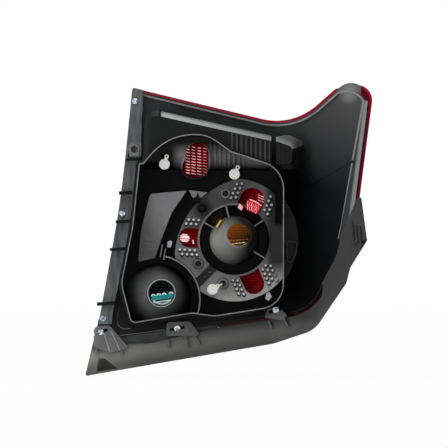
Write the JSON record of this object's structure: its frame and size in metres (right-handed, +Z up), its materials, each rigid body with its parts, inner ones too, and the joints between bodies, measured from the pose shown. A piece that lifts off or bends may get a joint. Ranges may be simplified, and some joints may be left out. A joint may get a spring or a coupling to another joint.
{
  "type": "tail light cluster",
  "caption": "Rear corner lamp of a car with a black housing open at the back, round and long bulb holes in inner reflectors, a red wrap-round lens and a lower trim strip.",
  "frame": {"origin": "centre of the turn bulb hole, on the back edge of its collar", "axes": "+X outboard, +Y from the car body towards the lens along the bulb axis, +Z up"},
  "size_m": [0.3569, 0.1768, 0.3652],
  "materials": {
    "housing_black": "satin moulded",
    "lens_red": "clear gloss",
    "lens_clear": "clear gloss",
    "lens_amber": "clear gloss",
    "sealant": "matt",
    "trim_grey": "fine grain",
    "bezel_dark": "gloss",
    "carrier_grey": "satin moulded",
    "reflector_grey": "satin moulded",
    "reflector_black": "satin moulded",
    "clip_white": "smooth",
    "screw_zinc": "zinc plated"
  },
  "bodies": {
    "root": {"housing": "housing_black", "outer_lens": "lens_red", "reverse_window": "lens_clear", "lens_seal": "sealant", "lower_trim": "trim_grey", "front_bezel": "bezel_dark", "reflector_carrier": "carrier_grey", "tail_reflector": "carrier_grey", "ring_reflector": "reflector_grey", "turn_reflector": "reflector_grey", "reverse_reflector": "reflector_black", "tail_inner_lens": "lens_red", "stop_inner_lens": "lens_red", "turn_inner_lens": "lens_amber", "reverse_inner_lens": "lens_clear", "reflector_clips": "clip_white", "flange_screws": "screw_zinc", "trim_screws": "screw_zinc"}
  },
  "joints": []
}
